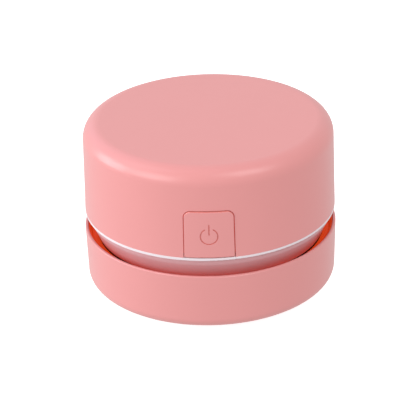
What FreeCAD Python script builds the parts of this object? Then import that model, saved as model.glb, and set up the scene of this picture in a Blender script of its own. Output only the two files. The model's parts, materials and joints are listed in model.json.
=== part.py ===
"""Desktop mini vacuum cleaner: a round dust bin on a ring of bristles, a lift-out filter cup, and a
push-on head that holds the motor, the fan, the rechargeable cell and the power button.

Units are millimetres. +Z is up, the button faces -Y, and the origin is the middle of the footprint,
at the bristle tips. Every height is stacked from the table upwards, seat by seat.
"""

import FreeCAD, Part

import math
import os

from FreeCAD import Vector

# ---------------------------------------------------------------- driving sizes

# Fits
slide_gap = 0.3  # between pieces that lift or slide past each other
snug_gap = 0.1  # between pieces that are fixed together
running_gap = 0.04  # shaft in its bush, and guide pins in their holes

# Brush and base
brush_reach = 3.0  # bristle length below the base
brush_inset = 4.0  # base plate's edge to the middle of the bristle band
brush_width = 2.8
brush_flare = 0.4  # how far the tips splay out on each side
brush_strip_count = 6
brush_strip_break = 9.0  # degrees left open between strips
foot_band = 6.3  # bin's foot, outside the base plate
base_plate_thick = 2.0
base_plate_round = 0.4
brush_groove_depth = 1.2

# Dust bin
bin_rim_radius = 42.8
bin_draft = 0.5  # how much narrower the foot is than the rim
dust_depth = 4.6  # bin floor to filter mesh
bin_rim_wall = 1.1
bin_rim_round = 0.4
bin_foot_round = 3.5
bin_ledge_depth = 4.5  # ledge for the filter cup, below the rim
bin_ledge_width = 1.2
bin_floor_thick = 1.6
inlet_radius = 8.0
inlet_mouth_flare = 4.0
chimney_wall = 1.5
chimney_rise = 3.2
base_boss_radius = 2.4
base_boss_rise = 3.0
base_boss_cap = 1.0
base_boss_inset = 8.0  # bristle band to the screws

# Filter cup
flange_thick = 1.3
cup_wall = 0.9
cup_floor_thick = 1.2
cup_depth = 5.3  # flange top to cup floor
cup_lip_width = 1.1  # flange inwards of the cup's wall
cup_rim_rise = 2.7  # upstand that lines the bin's rim, above the flange
cup_rim_wall = 0.8
seat_width = 7.3  # band of the cup's floor that the guard rests on
collar_wall = 1.2
collar_drop = 3.0  # below the cup floor's top
spoke_thick = 1.2
spoke_width = 1.8
spoke_count = 8
spoke_hub_radius = 4.0
mesh_thick = 0.5
gasket_width = 3.0
gasket_thick = 0.8
gasket_stand = 0.4  # how far it stands above the cup floor

# Fan guard
vent_width = 1.0  # skirt's foot to the cup's wall; the air leaves between the foot and the cup's lip
guard_inset = 1.0  # guard's edge inside the skirt's foot
guard_thick = 1.4
guard_boss_rise = 1.5
guard_screw_sink = 0.2  # below the plate's underside
exhaust_slot = 4.5
exhaust_rib_count = 24
exhaust_rib_width = 1.2
exhaust_rib_depth = 1.6
spigot_drop = 1.5
spigot_wall = 1.2
fan_eye_radius = 11.0
eye_lip_wall = 1.1
eye_lip_rise = 1.8
grille_bar = 1.0
grille_ring_radius = 6.05
grille_hub_radius = 2.0

# Motor tray
vent_gap = 5.6  # bin's rim to the trim ring
skirt_wall = 1.6
deck_thick = 2.0
deck_below_trim = 0.3
lip_wall = 1.4
lip_rise = 1.8
boss_radius = 2.5
boss_rim = 2.4  # guard's edge beyond its bosses
boss_gap = 1.4  # boss to impeller

# Head shell
head_inset = 0.3  # how much narrower the head is than the bin's rim
ceiling_room = 1.8  # motor tags to the cover's ceiling
cover_draft = 0.5
cover_wall = 2.0
cover_round = 5.5
trim_height = 1.05
trim_round = 0.3
trim_overhang = 0.3  # trim ring beyond the skirt's top edge

# Fan
fan_back_gap = 2.8
fan_front_gap = 1.2
fan_plate_thick = 1.2
blade_count = 11
blade_thick = 1.0
blade_to_eye = 2.5
blade_tip_inset = 0.3
blade_sweep = 38.0  # degrees that a blade falls back from root to tip
hub_radius = 4.0
hub_rise = 1.2  # above the back plate
hub_foot_rise = 1.0  # above the blades' feet

# Motor
motor_radius = 12.0
motor_length = 22.0
motor_wall = 1.0
bush_wall = 1.0
bush_stand = 0.8  # above the can's floor
cap_spigot_drop = 1.5
shaft_end_rise = 0.8  # above the can's open end
motor_cap_thick = 2.0
motor_nose_radius = 3.0
shaft_radius = 1.0
motor_bolt_offset = 8.0
rotor_gap = 0.5
magnet_thick = 2.2
terminal_height = 2.2
terminal_width = 2.4
terminal_thick = 0.5
terminal_offset = 6.5

# Cell and cradle: the cell, 14 mm by 50 mm, fills the room beside the motor
cell_to_motor = 1.5
cell_to_boss = 2.4
cradle_to_cover = 3.8
cradle_floor = 1.2
cradle_end_wall = 1.2
cradle_inset = 1.5  # cradle's side inside the cell's
cradle_window = 14.0  # cut away in the middle, under the cell
contact_thick = 0.4
contact_inset = 3.0  # contact's side inside the cell's
contact_rise = 5.7  # contact's top above the cell's axis
contact_drop = 3.0  # contact's foot below it
cell_tip_radius = 2.75
cell_tip_height = 1.0

# Circuit board
board_thick = 1.2
board_to_motor = 3.5
board_to_boss = 0.5
board_post_height = 4.0
board_post_radius = 2.2
board_post_inset = 4.9  # from the board's edge
board_to_cell = 0.6  # corner of the board's end to the cell
chip_width = 5.0
chip_length = 4.0
chip_height = 1.5
transistor_width = 4.0
transistor_length = 6.0
transistor_height = 2.0
choke_radius = 3.0
choke_height = 3.0
capacitor_radius = 2.5
capacitor_height = 7.0

# Power button and switch
button_width = 16.4
button_top_width = 16.0
button_height = 16.4
button_corner = 2.2
button_stand = 0.35  # how far it stands out of the cover
button_gap = 0.25
button_travel = 1.0
button_flange = 1.2
button_flange_wall = 1.2
button_edge_round = 0.3
button_wall = 1.4
stem_radius = 2.5
pin_radius = 1.0
pin_offset = 5.5
bracket_thick = 1.5
bracket_rise = 2.5  # above the stem
switch_inset = 0.8
switch_width = 7.5
switch_length = 10.0
switch_height = 6.5
plunger_side = 3.0
plunger_reach = 4.6
plunger_hold = 2.5  # length of plunger inside the switch

# Charging socket
socket_width = 9.0
socket_height = 3.2
socket_length = 7.6
socket_wall = 0.3
tongue_inset = 1.2
tongue_thick = 0.7
port_recess = 0.8
port_recess_margin = 1.4
light_radius = 1.0
light_offset = 8.5
light_hold = 0.8  # inside the cover's wall

# Fasteners
screw_radius = 1.0
screw_head_radius = 1.9
screw_head_height = 1.3
driver_radius = 0.7
driver_depth = 0.6
screw_tip_gap = 0.4  # left open past a screw's tip in its hole
cover_screw_bite = 6.0
guard_screw_bite = 3.5
board_screw_bite = 2.6

# Wiring
lead_radius = 0.6
lead_pitch = 2.4
plug_length = 4.0
plug_width = 5.0
plug_height = 4.0
lead_to_motor = 0.3
lead_overhang = 3.5  # how far the leads stand off past the motor and over their plug
lead_fall = 6.0  # height over which the motor's leads come together
plug_to_switch = 0.7
plug_to_edge = 0.5
ear_height = 2.6

# ---------------------------------------------------------------- heights, from the table up

base_z = brush_reach
floor_underside = base_z + base_plate_thick
floor_z = floor_underside + bin_floor_thick
mesh_z = floor_z + dust_depth
cup_floor_z = mesh_z + collar_drop
flange_z = cup_floor_z + cup_depth
ledge_z = flange_z - flange_thick
rim_z = ledge_z + bin_ledge_depth
seat_z = cup_floor_z + gasket_stand
guard_top = seat_z + guard_thick
guard_screw_seat = seat_z + screw_head_height + guard_screw_sink
skirt_foot_z = guard_top + exhaust_slot
trim_z = rim_z + vent_gap
trim_top = trim_z + trim_height
deck_underside = trim_z - deck_below_trim
deck_top = deck_underside + deck_thick
motor_top = deck_top + motor_length
cap_top = motor_top + motor_cap_thick
ceiling_z = cap_top + terminal_height + ceiling_room
cover_top = ceiling_z + cover_wall
plate_top = deck_underside - fan_back_gap
plate_underside = plate_top - fan_plate_thick
blade_foot_z = guard_top + fan_front_gap
hub_foot_z = blade_foot_z + hub_foot_rise

# ---------------------------------------------------------------- radii, from the outside in

bin_inner_radius = bin_rim_radius - bin_rim_wall
bin_well_radius = bin_inner_radius - bin_ledge_width
bin_foot_radius = bin_rim_radius - bin_draft
base_plate_radius = bin_foot_radius - foot_band
brush_radius = base_plate_radius - brush_inset
base_boss_circle = brush_radius - base_boss_inset
flange_radius = bin_inner_radius - slide_gap
cup_radius = bin_well_radius - slide_gap
cup_inner_radius = cup_radius - cup_wall
cup_lip_radius = cup_inner_radius - cup_lip_width
cup_rim_radius = flange_radius - cup_rim_wall
skirt_foot_radius = cup_inner_radius - vent_width
guard_radius = skirt_foot_radius - guard_inset
cup_throat_radius = guard_radius - seat_width
collar_radius = cup_throat_radius + collar_wall
spigot_radius = cup_throat_radius - slide_gap
head_radius = bin_rim_radius - head_inset
cover_top_radius = head_radius - cover_draft
cover_inner_radius = head_radius - cover_wall
cover_ceiling_radius = cover_top_radius - cover_wall
flange_outer_radius = cover_ceiling_radius - slide_gap
flange_inner_radius = flange_outer_radius - button_flange_wall
skirt_top_radius = head_radius - trim_overhang
lip_radius = cover_inner_radius - snug_gap
boss_circle = guard_radius - boss_rim - boss_radius
fan_radius = boss_circle - boss_radius - boss_gap
blade_inner_radius = fan_eye_radius + blade_to_eye
bush_radius = shaft_radius + bush_wall
can_inner_radius = motor_radius - motor_wall
can_floor_z = deck_top + motor_wall
board_inner_radius = motor_radius + board_to_motor
board_radius = boss_circle - boss_radius - board_to_boss
board_middle_radius = (board_inner_radius + board_radius) / 2
board_post_circle = board_radius - board_post_inset

# ---------------------------------------------------------------- places of the inner parts

cell_near = motor_radius + cell_to_motor
cell_far = boss_circle - boss_radius - cell_to_boss
cell_radius = (cell_far - cell_near) / 2
cell_x = cell_near + cell_radius
cell_z = deck_top + cradle_floor + cell_radius
cradle_side = cell_radius - cradle_inset
cradle_end = math.sqrt(cover_ceiling_radius**2 - (cell_x + cradle_side) ** 2) - cradle_to_cover
cradle_reach = cradle_end - cradle_end_wall
cell_length = 2 * (cradle_reach - contact_thick)
contact_top = cell_z + contact_rise
lead_x = motor_radius + lead_to_motor + lead_radius
ear_x = lead_x - lead_radius - 0.2
board_z = deck_top + board_post_height
board_top = board_z + board_thick
port_z = board_top + socket_height / 2
stem_z = board_top + switch_height / 2
button_z = trim_top + button_gap
button_middle = button_z + button_height / 2
flange_half = button_width / 2 + button_flange
flange_back = -math.sqrt(flange_inner_radius**2 - flange_half**2)
bracket_front = flange_back + button_travel + slide_gap
bracket_back = bracket_front + bracket_thick
switch_front = -board_radius + switch_inset
plunger_tip = switch_front - plunger_reach
socket_mouth = math.sqrt(cover_ceiling_radius**2 - (socket_width / 2) ** 2) - slide_gap
board_end_angle = math.degrees(math.acos((cell_near - board_to_cell) / board_radius))
motor_plug_place = (0, board_middle_radius)
cell_plug_x = (switch_width + plug_width) / 2 + plug_to_switch
cell_plug_corner = cell_plug_x + plug_width / 2
cell_plug_end = math.sqrt(board_radius**2 - cell_plug_corner**2) - plug_to_edge
cell_plug_place = (cell_plug_x, plug_length / 2 - cell_plug_end)
cover_screw_angles = (0, 120, 240)
guard_screw_angles = (60, 180, 300)
board_screw_angles = (112, 180, 246)
base_screw_angles = (30, 150, 270)

up = Vector(0, 0, 1)
inward = Vector(0, 1, 0)  # from the button towards the axis
origin = Vector(0, 0, 0)


# ---------------------------------------------------------------- shared shapes


def rounded_edges(points, place):
    """Edges of a closed outline. A point is (a, b) or (a, b, radius), and place(a, b) puts it in space."""
    flat = [(Vector(p[0], p[1], 0), p[2] if len(p) > 2 else 0) for p in points]
    joints = []
    for i, (corner, radius) in enumerate(flat):
        before = (flat[i - 1][0] - corner).normalize()
        after = (flat[(i + 1) % len(flat)][0] - corner).normalize()
        if radius <= 0:
            joints.append((corner, None, corner))
            continue
        half = before.getAngle(after) / 2
        reach = radius / math.tan(half)
        middle = corner + (before + after).normalize() * (radius / math.sin(half) - radius)
        joints.append((corner + before * reach, middle, corner + after * reach))
    edges = []
    for i, (start, middle, end) in enumerate(joints):
        if middle is not None:
            arc = Part.Arc(place(start.x, start.y), place(middle.x, middle.y), place(end.x, end.y))
            edges.append(arc.toShape())
        following = joints[(i + 1) % len(joints)][0]
        if (following - end).Length > 1e-6:
            edges.append(Part.LineSegment(place(end.x, end.y), place(following.x, following.y)).toShape())
    return edges


def turned(*points):
    """A solid of revolution about Z from a closed (radius, height) outline."""
    face = Part.Face(Part.Wire(rounded_edges(points, lambda r, z: Vector(r, 0, z))))
    return face.revolve(origin, up, 360)


def upright(points, low, high):
    """A prism standing between two heights, from an (x, y) outline."""
    face = Part.Face(Part.Wire(rounded_edges(points, lambda x, y: Vector(x, y, low))))
    return face.extrude(up * (high - low))


def pressed(points, front, back):
    """A prism along Y between two depths, from an (x, z) outline."""
    face = Part.Face(Part.Wire(rounded_edges(points, lambda x, z: Vector(x, front, z))))
    return face.extrude(inward * (back - front))


def box(x0, x1, y0, y1, z0, z1):
    return Part.makeBox(x1 - x0, y1 - y0, z1 - z0, Vector(x0, y0, z0))


def rod(radius, low, high, x=0.0, y=0.0):
    return Part.makeCylinder(radius, high - low, Vector(x, y, low), up)


def ring(outer, inner, low, high):
    return turned((inner, low), (outer, low), (outer, high), (inner, high))


def at_angle(radius, degrees):
    a = math.radians(degrees)
    return radius * math.cos(a), radius * math.sin(a)


def turned_to(shape, degrees):
    copy = shape.copy()
    copy.rotate(origin, up, degrees)
    return copy


def around(shape, angles):
    """Copies of a shape turned about Z to each of the angles."""
    return [turned_to(shape, a) for a in angles]


def even_angles(count, start=0.0):
    return [start + 360.0 * i / count for i in range(count)]


def obround(width, height, z, front, back):
    """A prism along Y with round ends, centred on the plane x = 0."""
    left, right = -width / 2, width / 2
    radius = height / 2 - 0.01
    low, high = z - height / 2, z + height / 2
    outline = [(left, low, radius), (right, low, radius), (right, high, radius), (left, high, radius)]
    return pressed(outline, front, back)


def screw(x, y, seat, length, head_down=True):
    """A pan-head self-tapping screw whose head bears on the plane z = seat."""
    way = 1 if head_down else -1
    head = Part.makeCylinder(screw_head_radius, screw_head_height, Vector(x, y, seat), up * -way)
    top = Vector(x, y, seat - way * screw_head_height)
    driver = Part.makeCylinder(driver_radius, driver_depth, top, up * way)
    shank = Part.makeCylinder(screw_radius, length, Vector(x, y, seat), up * way)
    return head.cut(driver).fuse(shank)


def screws(circle, angles, seat, length, head_down=True):
    return [screw(*at_angle(circle, a), seat, length, head_down) for a in angles]


def lead(points):
    """A wire along straight runs joined by tangent arcs."""
    points = [Vector(*p) for p in points]
    edges = []
    last = points[0]
    for before, corner, after in zip(points, points[1:], points[2:]):
        to_before = before - corner
        to_after = after - corner
        shorter = min(to_before.Length, to_after.Length)
        to_before.normalize()
        to_after.normalize()
        reach = 0.45 * shorter
        half = to_before.getAngle(to_after) / 2
        radius = reach * math.tan(half)
        start, end = corner + to_before * reach, corner + to_after * reach
        bisector = (to_before + to_after).normalize()
        middle = corner + bisector * (radius / math.sin(half) - radius)
        edges.append(Part.LineSegment(last, start).toShape())
        edges.append(Part.Arc(start, middle, end).toShape())
        last = end
    edges.append(Part.LineSegment(last, points[-1]).toShape())
    path = Part.Wire(edges)
    section = Part.Wire(Part.makeCircle(lead_radius, points[0], points[1] - points[0]))
    return path.makePipeShell([section], True, False)


# ---------------------------------------------------------------- brush, base plate and dust bin


def brush_strips():
    """Dense strips of bristle, set in the base plate's groove and splayed a little at the tips."""
    half = brush_width / 2
    top = base_z + brush_groove_depth
    profile = [
        (brush_radius - half - brush_flare, 0),
        (brush_radius + half + brush_flare, 0),
        (brush_radius + half, base_z),
        (brush_radius + half, top),
        (brush_radius - half, top),
        (brush_radius - half, base_z),
    ]
    face = Part.Face(Part.Wire(rounded_edges(profile, lambda r, z: Vector(r, 0, z))))
    sweep = 360.0 / brush_strip_count - brush_strip_break
    strip = face.revolve(origin, up, sweep)
    first = -90 - sweep / 2
    return around(strip, even_angles(brush_strip_count, first))


def base_plate():
    """The disc under the bin: a bell-mouthed inlet, the brush groove and three screw counterbores."""
    radius = base_plate_radius - snug_gap
    top = floor_underside
    mouth = inlet_radius + inlet_mouth_flare
    plate = turned(
        (mouth, base_z),
        (radius, base_z, base_plate_round),
        (radius, top),
        (inlet_radius, top),
        (inlet_radius, top - base_plate_round),
    )
    half = brush_width / 2
    groove = ring(brush_radius + half, brush_radius - half, base_z - 1, base_z + brush_groove_depth)
    plate = plate.cut(groove)
    for angle in base_screw_angles:
        x, y = at_angle(base_boss_circle, angle)
        plate = plate.cut(rod(screw_head_radius + snug_gap, base_z - 1, base_z + screw_head_height, x, y))
        plate = plate.cut(rod(screw_radius + snug_gap, base_z, top + 1, x, y))
    return [plate]


def base_screws():
    seat = base_z + screw_head_height
    tip = floor_underside + base_boss_rise - screw_tip_gap
    return screws(base_boss_circle, base_screw_angles, seat, tip - seat)


def dust_bin():
    """The lower shell: outer wall, ledge for the filter cup, floor, inlet chimney and screw bosses."""
    shell = turned(
        (base_plate_radius, base_z),
        (bin_foot_radius, base_z, bin_foot_round),
        (bin_rim_radius, rim_z, bin_rim_round),
        (bin_inner_radius, rim_z, bin_rim_round),
        (bin_inner_radius, ledge_z),
        (bin_well_radius, ledge_z),
        (bin_well_radius, floor_z, 1.5),
        (inlet_radius + chimney_wall, floor_z, 0.6),
        (inlet_radius + chimney_wall, floor_z + chimney_rise, 0.5),
        (inlet_radius, floor_z + chimney_rise, 0.5),
        (inlet_radius, floor_underside),
        (base_plate_radius, floor_underside),
    )
    for angle in base_screw_angles:
        x, y = at_angle(base_boss_circle, angle)
        boss_top = floor_underside + base_boss_rise + base_boss_cap
        shell = shell.fuse(rod(base_boss_radius, floor_underside, boss_top, x, y))
        shell = shell.cut(rod(screw_radius, floor_underside - 1, floor_underside + base_boss_rise, x, y))
    return [shell.removeSplitter()]


# ---------------------------------------------------------------- filter


def filter_frame():
    """The orange cup: lining of the bin's rim, flange with a lip, well, gasket groove and spoked throat."""
    cup = turned(
        (flange_radius, ledge_z),
        (flange_radius, flange_z + cup_rim_rise, 0.2),
        (cup_rim_radius, flange_z + cup_rim_rise, 0.2),
        (cup_rim_radius, flange_z, 0.4),
        (cup_lip_radius, flange_z, 0.3),
        (cup_lip_radius, ledge_z, 0.3),
        (cup_inner_radius, ledge_z, 0.3),
        (cup_inner_radius, cup_floor_z, 0.8),
        (cup_throat_radius, cup_floor_z),
        (cup_throat_radius, mesh_z),
        (collar_radius, mesh_z),
        (collar_radius, cup_floor_z - cup_floor_thick),
        (cup_radius, cup_floor_z - cup_floor_thick, 0.8),
        (cup_radius, ledge_z),
    )
    spoke_low = mesh_z + mesh_thick
    spoke_high = spoke_low + spoke_thick
    half = spoke_width / 2
    bar = box(0, cup_throat_radius + collar_wall / 2, -half, half, spoke_low, spoke_high)
    hub = rod(spoke_hub_radius, spoke_low, spoke_high)
    middle = (cup_throat_radius + spoke_hub_radius) / 2
    hoop = ring(middle + half, middle - half, spoke_low, spoke_high)
    cup = cup.fuse([hub, hoop] + around(bar, even_angles(spoke_count)))
    groove = gasket_ring(cup_floor_z + 1)
    return [cup.cut(groove).removeSplitter()]


def gasket_ring(high):
    inner = (collar_radius + cup_inner_radius) / 2 - gasket_width / 2
    return ring(inner + gasket_width, inner, seat_z - gasket_thick, high)


def filter_gasket():
    return [gasket_ring(seat_z)]


def filter_mesh():
    return [rod(cup_throat_radius - snug_gap / 2, mesh_z, mesh_z + mesh_thick)]


# ---------------------------------------------------------------- head: guard, tray, trim and cover


def fan_guard():
    """The black plate under the fan: inlet grille, spigot into the filter cup and exhaust ribs."""
    plate = turned(
        (fan_eye_radius, seat_z),
        (spigot_radius - spigot_wall, seat_z),
        (spigot_radius - spigot_wall, seat_z - spigot_drop),
        (spigot_radius, seat_z - spigot_drop, 0.3),
        (spigot_radius, seat_z),
        (guard_radius, seat_z, 0.3),
        (guard_radius, guard_top),
        (fan_eye_radius + eye_lip_wall, guard_top),
        (fan_eye_radius + eye_lip_wall, guard_top + eye_lip_rise),
        (fan_eye_radius, guard_top + eye_lip_rise),
    )
    side = exhaust_rib_width / 2
    outer = guard_radius - snug_gap
    rib = box(outer - exhaust_rib_depth, outer, -side, side, guard_top - guard_thick / 2, skirt_foot_z)
    low, high = seat_z, seat_z + grille_bar
    half = grille_bar / 2
    bar = box(0, fan_eye_radius + half, -half, half, low, high)
    hoop = ring(grille_ring_radius + half, grille_ring_radius - half, low, high)
    grille = [rod(grille_hub_radius, low, high), hoop] + around(bar, even_angles(6, 30))
    plate = plate.fuse(grille + around(rib, even_angles(exhaust_rib_count, 7.5)))
    for angle in guard_screw_angles:
        x, y = at_angle(boss_circle, angle)
        plate = plate.fuse(rod(boss_radius, guard_top - guard_thick / 2, guard_top + guard_boss_rise, x, y))
        plate = plate.cut(rod(screw_head_radius + snug_gap, seat_z - 1, guard_screw_seat, x, y))
        plate = plate.cut(rod(screw_radius + snug_gap, seat_z, guard_top + guard_boss_rise + 1, x, y))
    return [plate.removeSplitter()]


def guard_screws():
    length = guard_top + guard_boss_rise + guard_screw_bite - guard_screw_seat
    return screws(boss_circle, guard_screw_angles, guard_screw_seat, length)


def tray_posts():
    """Posts that hang under the deck for the guard, and stand on it for the board."""
    posts = []
    for angle in guard_screw_angles:
        x, y = at_angle(boss_circle, angle)
        post = rod(boss_radius, guard_top + guard_boss_rise, deck_underside + deck_thick / 4, x, y)
        posts.append(post.cut(rod(screw_radius, guard_top, deck_underside, x, y)))
    for angle in board_screw_angles:
        x, y = at_angle(board_post_circle, angle)
        post = rod(board_post_radius, deck_top - deck_thick / 4, board_z, x, y)
        posts.append(post.cut(rod(screw_radius, deck_top, board_z + 1, x, y)))
    return posts


def button_bracket():
    """The upright wall on the deck that guides the button's pins and stem."""
    top = stem_z + stem_radius + bracket_rise
    half = pin_offset + pin_radius + bracket_rise
    foot = deck_underside + deck_thick / 4
    outline = [(-half, foot), (half, foot), (half, top, 1.5), (-half, top, 1.5)]
    wall = pressed(outline, bracket_front, bracket_back)
    guide = pin_radius + running_gap
    for x, radius in ((-pin_offset, guide), (0, stem_radius + slide_gap), (pin_offset, guide)):
        wall = wall.cut(Part.makeCylinder(radius, bracket_thick, Vector(x, bracket_front, stem_z), inward))
    return wall


def motor_tray():
    """The pink skirt and the deck: carries the motor, the board, the cell cradle and the button bracket."""
    slope = (skirt_top_radius - skirt_foot_radius) / (trim_z - skirt_foot_z)
    inner_top = skirt_foot_radius - skirt_wall + slope * (deck_underside - skirt_foot_z)
    tray = turned(
        (skirt_foot_radius - skirt_wall, skirt_foot_z),
        (skirt_foot_radius, skirt_foot_z, 0.3),
        (skirt_top_radius, trim_z),
        (lip_radius, trim_z),
        (lip_radius, deck_top + lip_rise, 0.4),
        (lip_radius - lip_wall, deck_top + lip_rise, 0.4),
        (lip_radius - lip_wall, deck_top, 0.8),
        (motor_nose_radius + snug_gap, deck_top),
        (motor_nose_radius + snug_gap, deck_underside),
        (inner_top, deck_underside, 1.0),
    )
    posts = tray_posts()
    tray = tray.fuse(posts)
    places = [at_angle(boss_circle, a) for a in cover_screw_angles]
    places += [(0, -motor_bolt_offset), (0, motor_bolt_offset)]
    for x, y in places:
        tray = tray.cut(rod(screw_radius + snug_gap, deck_underside - 1, deck_top + 1, x, y))
    half = flange_half + 1.5
    lip_top = deck_top + lip_rise + 1
    tray = tray.cut(box(-half, half, -head_radius, bracket_front, trim_top, lip_top))
    tray = tray.fuse(button_bracket())
    port = socket_width / 2 + 2.0
    tray = tray.cut(box(-port, light_offset + 2.0, boss_circle, head_radius, deck_top, lip_top))
    return [tray.removeSplitter()]


def trim_ring():
    return [
        turned(
            (lip_radius + snug_gap, trim_z),
            (head_radius, trim_z, trim_round),
            (head_radius, trim_top, trim_round / 2),
            (lip_radius + snug_gap, trim_top),
        )
    ]


def button_outline(margin=0.0, below=0.0):
    """The tab's (x, z) outline, grown all round and lengthened downwards."""
    foot = button_width / 2 + margin
    head = button_top_width / 2 + margin
    low, high = button_z - below, button_z + button_height + margin
    corner = button_corner + margin
    return [(-foot, low), (foot, low), (head, high, corner), (-head, high, corner)]


def top_cover():
    """The pink lid: drafted wall, soft top edge, screw bosses, button notch and charging port."""
    outer = turned(
        (0, trim_top),
        (head_radius, trim_top),
        (cover_top_radius, cover_top, cover_round),
        (0, cover_top),
    )
    inner_round = max(cover_round - cover_wall, 0.5)
    inner = turned(
        (0, trim_top - 1),
        (cover_inner_radius, trim_top - 1),
        (cover_inner_radius, trim_top),
        (cover_ceiling_radius, ceiling_z, inner_round),
        (0, ceiling_z),
    )
    cover = outer.cut(inner)
    for angle in cover_screw_angles:
        x, y = at_angle(boss_circle, angle)
        boss = rod(boss_radius, deck_top, ceiling_z + cover_wall / 4, x, y)
        cover = cover.fuse(boss.cut(rod(screw_radius, deck_top - 1, deck_top + cover_screw_bite + 2, x, y)))
    cover = cover.cut(pressed(button_outline(button_gap, button_gap + 1), -head_radius - 2, -board_radius))
    room = 2 * slide_gap
    port = obround(socket_width + room, socket_height + room, port_z, board_radius, head_radius + 2)
    cover = cover.cut(port)
    mouth = port_recess_margin * 2
    recess = obround(socket_width + mouth, socket_height + mouth, port_z, board_radius, head_radius + 2)
    recess = recess.cut(rod(cover_face_radius(port_z) - port_recess, 0, cover_top))
    cover = cover.cut(recess)
    depth = head_radius - board_radius
    light = Part.makeCylinder(light_radius, depth, Vector(light_offset, board_radius, port_z), inward)
    return [cover.cut(light).removeSplitter()]


def cover_screws():
    return screws(boss_circle, cover_screw_angles, deck_underside, deck_thick + cover_screw_bite)


# ---------------------------------------------------------------- power button and switch


def cover_face_radius(z):
    """The drafted cover's outer radius at a height."""
    return head_radius - cover_draft * (z - trim_top) / (cover_top - trim_top)


def power_button():
    """The tab in the cover's wall, with a hidden flange, a stem to the switch and two guide pins."""
    face = cover_face_radius(button_middle) + button_stand
    low, high = deck_top - deck_thick, cover_top
    tab = pressed(button_outline(), -face - 1, 0)
    tab = tab.common(ring(face, flange_inner_radius, low, high))
    front = [e for e in tab.Edges if all(math.hypot(v.X, v.Y) > face - 0.01 for v in e.Vertexes)]
    tab = tab.makeFillet(button_edge_round, front)
    flange = pressed(button_outline(button_flange), -face - 1, 0)
    flange = flange.common(ring(flange_outer_radius, flange_inner_radius, button_z, high))
    depth = face - button_wall
    pocket = pressed(button_outline(-button_wall, -button_wall), -face - 1, 0)
    shell = tab.fuse(flange).cut(pocket.common(rod(depth, low, high)))
    depth += button_wall / 2
    stem = Part.makeCylinder(stem_radius, depth + plunger_tip, Vector(0, -depth, stem_z), inward)
    pins = []
    for side in (-1, 1):
        root = -math.sqrt(depth**2 - pin_offset**2)
        length = bracket_back + slide_gap - root
        start = Vector(side * pin_offset, root, stem_z)
        pins.append(Part.makeCylinder(pin_radius, length, start, inward))
    return [shell.fuse([stem] + pins).removeSplitter()]


def plunger_box(margin, front, back):
    half = plunger_side / 2 + margin
    return box(-half, half, front, back, stem_z - half, stem_z + half)


def power_switch():
    """The self-locking switch on the board's front end."""
    half = switch_width / 2
    back = switch_front + switch_length
    body = box(-half, half, switch_front, back, board_top, board_top + switch_height)
    slot_end = switch_front + plunger_hold + button_travel + slide_gap
    return [body.cut(plunger_box(snug_gap, switch_front - 1, slot_end))]


def switch_plunger():
    return [plunger_box(0, plunger_tip, switch_front + plunger_hold)]


# ---------------------------------------------------------------- fan and motor


def impeller():
    """A centrifugal wheel: back plate, hub and swept-back blades that hang below the plate."""
    wheel = turned(
        (shaft_radius, hub_foot_z),
        (hub_radius, hub_foot_z, 1.0),
        (hub_radius + 0.6, plate_underside, 1.0),
        (fan_radius, plate_underside),
        (fan_radius, plate_top, 0.3),
        (hub_radius, plate_top, 0.4),
        (hub_radius, plate_top + hub_rise, 0.3),
        (shaft_radius, plate_top + hub_rise),
    )
    foot_to_plate = blade(blade_foot_z, plate_underside + fan_plate_thick / 3)
    blades = around(foot_to_plate, even_angles(blade_count))
    return [wheel.fuse(blades).removeSplitter()]


def blade(low, high):
    """One blade: a curved wall from the eye to the rim, falling back as it goes out."""
    tip_radius = fan_radius - blade_tip_inset
    middle_radius = (blade_inner_radius + tip_radius) / 2

    def side(offset):
        places = []
        for radius, share in ((blade_inner_radius, 0.0), (middle_radius, 0.38), (tip_radius, 1.0)):
            turn = math.radians(-blade_sweep * share) + offset / radius
            places.append(Vector(radius * math.cos(turn), radius * math.sin(turn), low))
        return places

    lead_side, back_side = side(blade_thick / 2), side(-blade_thick / 2)
    edges = [
        Part.Arc(*lead_side).toShape(),
        Part.LineSegment(lead_side[-1], back_side[-1]).toShape(),
        Part.Arc(*reversed(back_side)).toShape(),
        Part.LineSegment(back_side[0], lead_side[0]).toShape(),
    ]
    return Part.Face(Part.Wire(edges)).extrude(up * (high - low))


def motor_can():
    """The drawn steel can, closed at the front where it bolts to the deck."""
    can = turned(
        (bush_radius, deck_underside),
        (motor_nose_radius, deck_underside, 0.3),
        (motor_nose_radius, deck_top),
        (motor_radius, deck_top, 1.0),
        (motor_radius, motor_top),
        (can_inner_radius, motor_top),
        (can_inner_radius, can_floor_z, 0.6),
        (bush_radius, can_floor_z),
    )
    for y in (-motor_bolt_offset, motor_bolt_offset):
        can = can.cut(rod(screw_radius, deck_top - 1, can_floor_z + 1, 0, y))
    return [can]


def motor_bush():
    """The bronze bush that the shaft runs in."""
    bore = shaft_radius + running_gap
    return [ring(bush_radius, bore, deck_underside + 0.2, can_floor_z + bush_stand)]


def motor_end_cap():
    """The moulded cap that closes the can, with a blind bearing for the shaft's end."""
    spigot = can_inner_radius - snug_gap / 2
    low = motor_top - cap_spigot_drop
    blind = motor_top + motor_cap_thick / 2
    cap = turned(
        (0, cap_top),
        (motor_radius - 0.5, cap_top, 0.5),
        (motor_radius - 0.5, motor_top),
        (spigot, motor_top),
        (spigot, low),
        (spigot - 1.2, low),
        (spigot - 1.2, motor_top),
        (bush_radius + 0.6, motor_top),
        (bush_radius + 0.6, low),
        (shaft_radius + running_gap, low),
        (shaft_radius + running_gap, blind),
        (0, blind),
    )
    return [cap]


def motor_terminals():
    """Two brass tags that stand on the end cap."""
    tags = []
    for side in (-1, 1):
        x = side * terminal_offset
        tag = box(-terminal_width / 2, terminal_width / 2, -terminal_thick / 2, terminal_thick / 2, cap_top,
                  cap_top + terminal_height)
        tags.append(tag.translated(Vector(x, 0, 0)))
    return tags


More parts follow.
